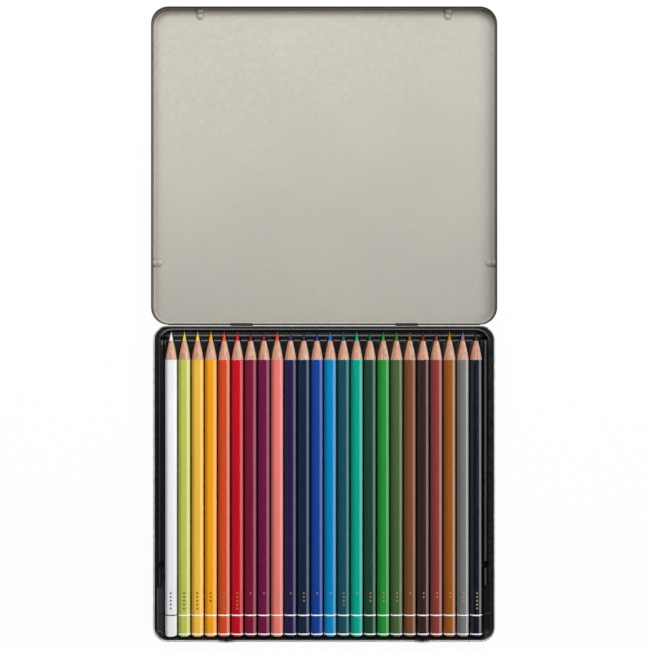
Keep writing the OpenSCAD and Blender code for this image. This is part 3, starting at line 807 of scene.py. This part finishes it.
def stop_domes():
    """Raised domes of the four stop dimples on the lid's panel, clear of their dents."""
    ball = (DOME_R ** 2 + DOME_HEIGHT ** 2) / (2 * DOME_HEIGHT)
    full = math.asin(DOME_R / ball)
    middles = [(side * DIMPLE_X, LID_FAR - DOME_INSET) for side in (-1, 1)]
    middles += [(side * (LID_HALF_X - DOME_INSET), LID_BACK + DIMPLE_Y) for side in (-1, 1)]
    points, faces = [], []
    for x, y in middles:
        start = len(points)
        for level in range(DOME_LEVELS):
            a = full * (1 - level / DOME_LEVELS)
            for k in range(DOME_SIDES):
                b = 2 * math.pi * k / DOME_SIDES
                points.append((x + ball * math.sin(a) * math.cos(b),
                               y + ball * math.sin(a) * math.sin(b),
                               SHEET + DOME_HEIGHT - ball * (1 - math.cos(a)) - DOME_SINK))
        for level in range(DOME_LEVELS - 1):
            low = start + level * DOME_SIDES
            high = low + DOME_SIDES
            for k in range(DOME_SIDES):
                n = (k + 1) % DOME_SIDES
                faces.append((low + k, low + n, high + n, high + k))
        top = len(points)
        points.append((x, y, SHEET + DOME_HEIGHT - DOME_SINK))
        last = top - DOME_SIDES
        for k in range(DOME_SIDES):
            faces.append((last + k, last + (k + 1) % DOME_SIDES, top))
        faces.append(tuple(start + k for k in reversed(range(DOME_SIDES))))
    balls = bmesh.new()
    for place in DIMPLES:
        bmesh.ops.create_icosphere(balls, subdivisions=4, radius=DENT_RADIUS * MM,
                                   matrix=Matrix.Translation(place * MM))
    dents = in_scene("dents", bpy.data.meshes.new("dents"))
    balls.to_mesh(dents.data)
    balls.free()
    domes = in_scene("whole_domes", mesh_from("whole_domes", points, faces))
    cut = domes.modifiers.new("cut", "BOOLEAN")
    cut.operation = "DIFFERENCE"
    cut.solver = "EXACT"
    cut.object = dents
    mesh = applied(domes, "lid_stop_domes_look")
    discard(dents)
    smooth(mesh, degrees=40)
    new_object("lid_stop_domes", mesh, [GREY], "lid")


TIN = bare_tin("tin_rim")
# Painted shade: a darker copy of the tin, for the back of the rim by the hinge
SHADED_TIN = bare_tin("tin_rim_painted_shade", shade_drop=92)
COAT = dark_coat("dark_coat")
GREY = satin_lacquer("grey_lacquer", linear(177, 173, 163), linear(163, 159, 150))
# Painted shade: a darker copy of the grey lacquer, for the lid's inner walls
SHADED_WALL_GREY = satin_lacquer("grey_lacquer_walls_painted_shade", linear(138, 131, 120), linear(126, 120, 110))

tray_mesh = rounded_copy("tray_shell", "tray_look", 0.06)
paint_tray(tray_mesh)
new_object("tray_pan", tray_mesh, [TIN, COAT, SHADED_TIN], "tray", ["tray_shell"])

lid_mesh = rounded_copy("lid_shell", "lid_look", 0.08)
flatten_dents(lid_mesh)
paint_lid(lid_mesh)
new_object("lid_pan", lid_mesh, [GREY, COAT, SHADED_WALL_GREY], "lid", ["lid_shell"])
stop_domes()


# ------------------------ formed insert

insert_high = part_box("insert")[1]
INSERT_X, INSERT_Y, FLANGE_Z = insert_high.x / MM, insert_high.y / MM, insert_high.z / MM
INSERT_CORNER = 7.05
PLASTIC = 0.4

# The well's foot line: half width, back and front, and its corners at the tips and at the ends
FOOT_X = 93.85
WELL_BACK, WELL_FRONT = 87.4, -88.35
TIP_CORNER, END_CORNER = 6.95, 3.75
# The grid of the grooves ends inside the foot line, and the last run of each of its edges is
# stretched round the foot line's corner
GRID_X, GRID_BACK, GRID_FRONT = 90.5, 84.9, -86.2
RUN = 6.5
# Columns of the grid by distance from each pencil's middle
COLUMNS = [0, 1.0, 1.75, 2.0, 2.3, 2.65, 3.25, 3.45, 3.65]
# Rows of the grid: where each piece of the table ends, and its number of steps
ROWS = [(-84.0, 6), (-80.0, 6), (-64.0, 3), (-58.0, 12), (-49.2, 2), (-44.2, 14), (60.0, 3),
        (81.4, 8), (83.8, 12), (GRID_BACK, 11)]
# Rings of the sheet between the grid and the foot line, and of the flange
FOOT_RINGS, FLANGE_RINGS = 24, 9

# Height of the formed sheet by distance from the nearest pencil's middle
GROOVE_FLOOR = 3.2
GROOVE = [(0, GROOVE_FLOOR), (1.75, GROOVE_FLOOR), (2.0, 3.27), (2.65, 4.4), (3.25, 5.4),
          (3.45, 5.6), (3.65, 5.68), (PITCH / 2, 5.7)]
# Height of the strip beside the outer pencils by distance from the pencil's middle
STRIP = GROOVE[:-2] + [(3.75, 5.66), (4.2, 5.5), (4.27, 7.5), (4.34, 8.6), (4.4, 8.8),
                       (4.5, 8.87), (5.4, 8.79), (6.0, 8.59), (6.1, 8.4)]
STRIP_START, STRIP_SHOULDER = 3.4, 3.75
# The grooves narrow towards the tips: from where, over what length, and by how much
TAPER_START, TAPER_LENGTH, TAPER = 70, 11, 1.9
# Share of the ridges' height left by place along the tin
RIDGE_RISE = [(81.4, 1.0), (81.55, 0.995), (82.3, 0.935), (82.5, 0.85), (82.85, 0.2),
              (83.0, 0.04), (83.15, 0.0)]
# Height of the ledge behind the tips by place along the tin: channel, step, step
LEDGE_START = 83.5
LEDGE = [(83.8, 3.2), (83.9, 3.4), (84.0, 4.9), (84.15, 5.36), (84.25, 5.42), (84.35, 5.41),
         (85.1, 5.235), (85.2, 5.23), (85.3, 5.3), (85.42, 5.42), (85.5, 5.42), (86.2, 5.23),
         (86.4, 5.2), (87.6, 5.2)]
# Dip under each tip in the parts of the ledge above this height: its width and depth
DIP_ABOVE, DIP_WIDTH, DIP_DEPTH = 4.5, 5.2, 0.35
# Share of the wall's height by distance outwards from its foot, as it is at front and back
WALL = [(0.07, 0.01), (0.15, 0.05), (0.21, 0.15), (0.30, 0.42), (0.38, 0.70), (0.44, 0.88),
        (0.51, 0.96), (0.60, 0.995)]
# The side walls are steeper: they take this share of those distances
SIDE_SHARE = 0.45
# Drop of the flange by distance outwards from its inner edge, and its share at sides and front
FLANGE = [(0.0, 0.0), (0.08, 0.01), (0.6, 0.17), (0.75, 0.2), (3.0, 0.2)]
FLANGE_SHARE = 0.1
# Least and greatest width of the flange, and halvings by which its edge is found
FLANGE_LEAST, FLANGE_MOST, HALVINGS = 0.05, 6.0, 30

# Notch across the side strips: middle, half length, floor, and how soft its ends are
NOTCH_Y, NOTCH_HALF, NOTCH_FLOOR, NOTCH_SOFT = -46.7, 1.9, 4.6, 0.5
# Finger scoop: front, back, half width, corner radius, floor, and how soft its edge is
SCOOP_FRONT, SCOOP_BACK, SCOOP_X, SCOOP_CORNER, SCOOP_FLOOR = -85.15, -58.75, 92.44, 6.5, 0.95
SCOOP_SOFT = 0.9
# Height of the scoop's side by place across the tin
SLOPE = [(91.15, 5.1), (92.0, 6.2), (93.0, 7.4), (94.0, 8.5), (94.3, 8.9), (95.05, 9.95),
         (95.3, 10.08), (95.7, 10.12), (96.2, 10.12)]
SLOPE_FRONT, SLOPE_BACK = -84.5, SCOOP_BACK + 0.2
# Lengths over which it fades at its front, back and outer edge
FADE_FRONT, FADE_BACK, FADE_OUTER = 0.5, 1.4, 0.3
# Pad in the front corners: inner, outer and front edge, height, and the lengths of its fades
PAD_X, PAD_OUTER, PAD_FRONT, PAD_Z = 92.1, 95.7, -89.6, 9.5
PAD_FADE_IN, PAD_FADE_OUT = 0.4, 0.6
# The part of the scoop's sides whose plastic is lighter grey
LIGHTER_X, LIGHTER_Y = (91.2, 95.9), (-89.8, -59.2)


def side_form(x, y, z):
    """Lays the finger scoop's side slope and the corner pad over the plain height."""
    x = abs(x)
    if x > SLOPE[0][0]:
        share = ease((SLOPE_BACK - y) / FADE_BACK) * ease((y - SLOPE_FRONT) / FADE_FRONT)
        share *= ease((SLOPE[-1][0] - x) / FADE_OUTER)
        z += (along(SLOPE, x) - z) * share
    pad = ease((SLOPE_FRONT - y) / FADE_FRONT) * ease((x - PAD_X) / PAD_FADE_IN)
    pad *= ease((y - PAD_FRONT) / PAD_FADE_OUT)
    return z + (PAD_Z - z) * pad * ease((PAD_OUTER - x) / PAD_FADE_OUT)


def box_distance(x, y, half_x, half_y, corner):
    """Signed distance to a rectangle with round corners."""
    qx, qy = abs(x) - half_x + corner, abs(y) - half_y + corner
    return math.hypot(max(qx, 0), max(qy, 0)) + min(max(qx, qy), 0) - corner


def sheet_height(x, y):
    """Top of the formed sheet inside the well."""
    x = abs(x - ASIDE)
    outer = -FIRST_X
    # Distance from the nearest pencil's middle
    u = x - outer
    if u < 0:
        u = PITCH / 2 - abs((x - PITCH / 2) % PITCH - PITCH / 2)
    strip = x > outer + STRIP_START
    if y > TAPER_START:
        u += TAPER * ease((y - TAPER_START) / TAPER_LENGTH)
        if strip:
            u = min(u, STRIP_SHOULDER) if x < outer + STRIP_SHOULDER else x - outer
    z = along(STRIP if x > outer else GROOVE, u)
    if strip:
        notch = ease((NOTCH_HALF + NOTCH_SOFT / 2 - abs(y - NOTCH_Y)) / NOTCH_SOFT)
        z += (NOTCH_FLOOR - z) * notch
    z = GROOVE_FLOOR + (z - GROOVE_FLOOR) * along(RIDGE_RISE, y)
    if y > LEDGE_START:
        z = along(LEDGE, y)
        if u < DIP_WIDTH / 2 and z > DIP_ABOVE:
            z -= DIP_DEPTH * math.cos(math.pi * u / DIP_WIDTH) ** 2
    scoop = box_distance(x, y - (SCOOP_FRONT + SCOOP_BACK) / 2, SCOOP_X,
                         (SCOOP_BACK - SCOOP_FRONT) / 2, SCOOP_CORNER)
    return z + (SCOOP_FLOOR - z) * ease(0.5 - scoop / SCOOP_SOFT)


def foot_point(x, y):
    """Place and outward normal on the well's foot that belong to a place on the grid's edge."""
    side_x, side_y = math.copysign(1, x), (1 if y > 0 else -1)
    corner = TIP_CORNER if side_y > 0 else END_CORNER
    foot_y = WELL_BACK if side_y > 0 else -WELL_FRONT
    grid_y = GRID_BACK if side_y > 0 else -GRID_FRONT
    at_side = abs(abs(x) - GRID_X) < 1e-6
    place, grid_end, foot_end = (abs(y), grid_y, foot_y) if at_side else (abs(x), GRID_X, FOOT_X)
    start = grid_end - RUN
    if place > start:
        # Past the start the edge is stretched over the straight rest and half of the corner
        straight = foot_end - corner - start
        travelled = (place - start) / RUN * (straight + corner * math.pi / 4)
        place = start + travelled
        if travelled > straight:
            a = (travelled - straight) / corner
            if not at_side:
                a = math.pi / 2 - a
            nx, ny = side_x * math.cos(a), side_y * math.sin(a)
            return (side_x * (FOOT_X - corner) + corner * nx,
                    side_y * (foot_y - corner) + corner * ny), (nx, ny)
    if at_side:
        return (side_x * FOOT_X, side_y * place), (side_x, 0.0)
    return (side_x * place, side_y * foot_y), (0.0, side_y)


def edge_distance(place, normal):
    """How far the flange reaches from the well's foot along a normal, by halving."""
    near, far = 0.0, FLANGE_MOST
    for _ in range(HALVINGS):
        mid = (near + far) / 2
        inside = box_distance(place[0] + mid * normal[0], place[1] + mid * normal[1],
                              INSERT_X, INSERT_Y, INSERT_CORNER) < 0
        near, far = (mid, far) if inside else (near, mid)
    return near


def grid_lines():
    """Places of the grid's columns and rows."""
    xs = {GRID_X, -GRID_X, 0.0}
    for k in range(PENCILS):
        middle = FIRST_X + PITCH * k + ASIDE
        xs |= {middle + side * offset for offset in COLUMNS for side in (-1, 1)}
        xs.add(middle + PITCH / 2)
    start, ys = GRID_FRONT, [GRID_FRONT]
    for end, count in ROWS:
        ys += [start + (end - start) * (k + 1) / count for k in range(count)]
        start = end
    return sorted({round(x, 4) for x in xs if abs(x) <= GRID_X}), ys


def insert_surface():
    """Points and faces of the sheet: the grid, then rings round it up the wall to the flange."""
    xs, ys = grid_lines()
    nx, ny = len(xs), len(ys)
    points = [(x, y, sheet_height(x, y)) for y in ys for x in xs]
    faces = [(j * nx + i, j * nx + i + 1, (j + 1) * nx + i + 1, (j + 1) * nx + i)
             for j in range(ny - 1) for i in range(nx - 1)]
    border = [(i, 0) for i in range(nx - 1)] + [(nx - 1, j) for j in range(ny - 1)]
    border += [(nx - 1 - i, ny - 1 - j) for i, j in border]
    last = [j * nx + i for i, j in border]
    feet = [foot_point(xs[i], ys[j]) for i, j in border]

    def grow(places):
        """Adds a ring of points, and faces to the ring before it."""
        now = range(len(points), len(points) + len(places))
        points.extend(places)
        for k in range(len(now)):
            n = (k + 1) % len(now)
            faces.append((last[k], now[k], now[n], last[n]))
        last[:] = now

    def inside(i, j, foot, t):
        """The point at a share of the way from the grid's edge to its foot point."""
        x, y = xs[i] + (foot[0] - xs[i]) * t, ys[j] + (foot[1] - ys[j]) * t
        return x, y, side_form(x, y, sheet_height(x, y))

    def outside(foot, normal, d, z):
        """The point at a distance out from the foot line, at this height but for side_form."""
        x, y = foot[0] + d * normal[0], foot[1] + d * normal[1]
        return x, y, side_form(x, y, z)

    for ring in range(1, FOOT_RINGS + 1):
        grow([inside(i, j, foot, ring / FOOT_RINGS) for (i, j), (foot, _) in zip(border, feet)])
    # Share of the wall's distances that applies at each foot point
    shares = [SIDE_SHARE + (1 - SIDE_SHARE) * abs(normal[1]) for _, normal in feet]
    lows = [sheet_height(*foot) for foot, _ in feet]
    for distance, rise in WALL:
        grow([outside(foot, normal, distance * share, low + (FLANGE_Z - low) * rise)
              for (foot, normal), share, low in zip(feet, shares, lows)])
    reach = [edge_distance(*foot) for foot in feet]
    for ring in range(1, FLANGE_RINGS + 1):
        places = []
        for (foot, normal), share, far in zip(feet, shares, reach):
            lip = WALL[-1][0] * share
            d = lip + max(far - lip, FLANGE_LEAST) * (ring / FLANGE_RINGS)
            drop = along(FLANGE, d - lip)
            drop *= FLANGE_SHARE + (1 - FLANGE_SHARE) * max(normal[1], 0)
            places.append(outside(foot, normal, d, FLANGE_Z - drop))
        grow(places)
    return points, faces


def formed_insert():
    """Black sheet with its grooves, ledge, scoop, wall and flange."""
    mesh = mesh_from("formed_insert_look", *insert_surface())
    smooth(mesh, degrees=55)
    sheet = in_scene("sheet", mesh)
    thick = sheet.modifiers.new("thick", "SOLIDIFY")
    thick.thickness = PLASTIC * MM
    thick.offset = -1
    mesh = applied(sheet, "formed_insert_sheet")
    smooth(mesh, degrees=55)
    # Faces on the scoop's sides take the lighter grey copy of the black plastic
    for polygon in mesh.polygons:
        spots = [mesh.vertices[v].co for v in polygon.vertices]
        if all(LIGHTER_X[0] < abs(v.x / MM) < LIGHTER_X[1] and LIGHTER_Y[0] < v.y / MM < LIGHTER_Y[1]
               for v in spots):
            polygon.material_index = 1
    new_object("formed_insert", mesh, [BLACK, LIGHTER_PLASTIC], "insert", ["insert"])


BLACK = insert_plastic("black_plastic")
# A lighter grey copy of the black plastic, for the scoop's sides
LIGHTER_PLASTIC = insert_plastic("lighter_plastic", lift=14)
formed_insert()


# ------------------------ stage and light

# The floor, in metres: half its size, and its gap below the tin
FLOOR_HALF, FLOOR_GAP = 4.0, 0.0002
FLOOR_TONE = 0.85
# How much of plain white the floor takes where it is seen straight
FLOOR_WHITE = 0.95
# Height of a direction, as its sine, and the light from there
WORLD = [(0.0, 0.21), (0.3, 0.29), (0.55, 0.48), (0.8, 0.42), (0.93, 0.05), (1.0, 0.01)]
# Extra share of the light from the right and the far side
WORLD_SIDE = (0.40, 0.34, 0.0)
# Lamps, in metres and watts: name, place, target, width, height, power
LAMPS = [
    ("right_box", (1.28, 0.30, 1.72), (0, 0.08, 0.0), 2.4, 1.5, 26.5),
    ("far_box", (-0.12, 0.46, 0.68), (-0.02, 0.15, 0.0), 0.90, 0.40, 4.4),
]
# Camera straight above the tin, in metres, with the sensor and lens in millimetres
CAMERA_PLACE = (0.0005, 0.0908, 0.640)
CAMERA_SENSOR, CAMERA_LENS = 36, 60.97
CAMERA_CLIP = (0.01, 20)


def make_floor():
    """Pale floor that looks white to the camera and in gloss, and keeps the tin's shadow."""
    mesh = bpy.data.meshes.new("floor")
    z = cad_low.z - FLOOR_GAP
    corners = [(-1, -1), (1, -1), (1, 1), (-1, 1)]
    mesh.from_pydata([(x * FLOOR_HALF, y * FLOOR_HALF, z) for x, y in corners], [],
                     [(0, 1, 2, 3)])
    floor = in_scene("floor", mesh)
    m = material_nodes("floor")
    path = m.add("ShaderNodeLightPath").outputs
    seen = m.maths("MAXIMUM", path["Is Camera Ray"], path["Is Glossy Ray"])
    seen = m.maths("MAXIMUM", seen, path["Is Transmission Ray"])
    mesh.materials.append(m.mix(
        m.maths("MULTIPLY", seen, FLOOR_WHITE),
        m.add("ShaderNodeBsdfDiffuse", {"Color": neutral(FLOOR_TONE)}),
        m.add("ShaderNodeEmission", {"Strength": 1.0})))


def make_world():
    """Soft room light: dim overhead, brighter low down and towards the right and far side."""
    world = bpy.data.worlds.new("studio")
    bpy.context.scene.world = world
    m = Nodes(world, "ShaderNodeOutputWorld")
    direction = m.add("ShaderNodeTexCoord").outputs["Generated"]
    height = m.add("ShaderNodeSeparateXYZ", {"Vector": direction}).outputs["Z"]
    by_height = m.ramp(height, [(at, neutral(value)) for at, value in WORLD])
    side = m.add("ShaderNodeVectorMath", {0: direction, 1: WORLD_SIDE},
                 operation="DOT_PRODUCT").outputs["Value"]
    strength = m.maths("MULTIPLY", by_height, m.maths("ADD", side, 1.0))
    m.mix(m.add("ShaderNodeLightPath").outputs["Is Camera Ray"],
          m.add("ShaderNodeBackground", {"Strength": strength}),
          m.add("ShaderNodeBackground", {"Strength": 1.0}))


def make_lamp(name, place, target, width, height, power):
    """Rectangular lamp that faces its target."""
    data = bpy.data.lights.new(name, "AREA")
    data.shape = "RECTANGLE"
    data.size, data.size_y = width, height
    data.energy = power
    lamp = in_scene(name, data)
    lamp.location = place
    lamp.rotation_mode = "QUATERNION"
    lamp.rotation_quaternion = (Vector(target) - Vector(place)).to_track_quat("-Z", "Y")


make_floor()
make_world()
for lamp_values in LAMPS:
    make_lamp(*lamp_values)

camera_data = bpy.data.cameras.new("camera")
camera_data.sensor_width = CAMERA_SENSOR
camera_data.lens = CAMERA_LENS
camera_data.clip_start, camera_data.clip_end = CAMERA_CLIP
camera = in_scene("camera", camera_data)
camera.location = CAMERA_PLACE
bpy.context.scene.camera = camera
bpy.context.scene.view_settings.view_transform = "Standard"

bpy.context.view_layer.update()
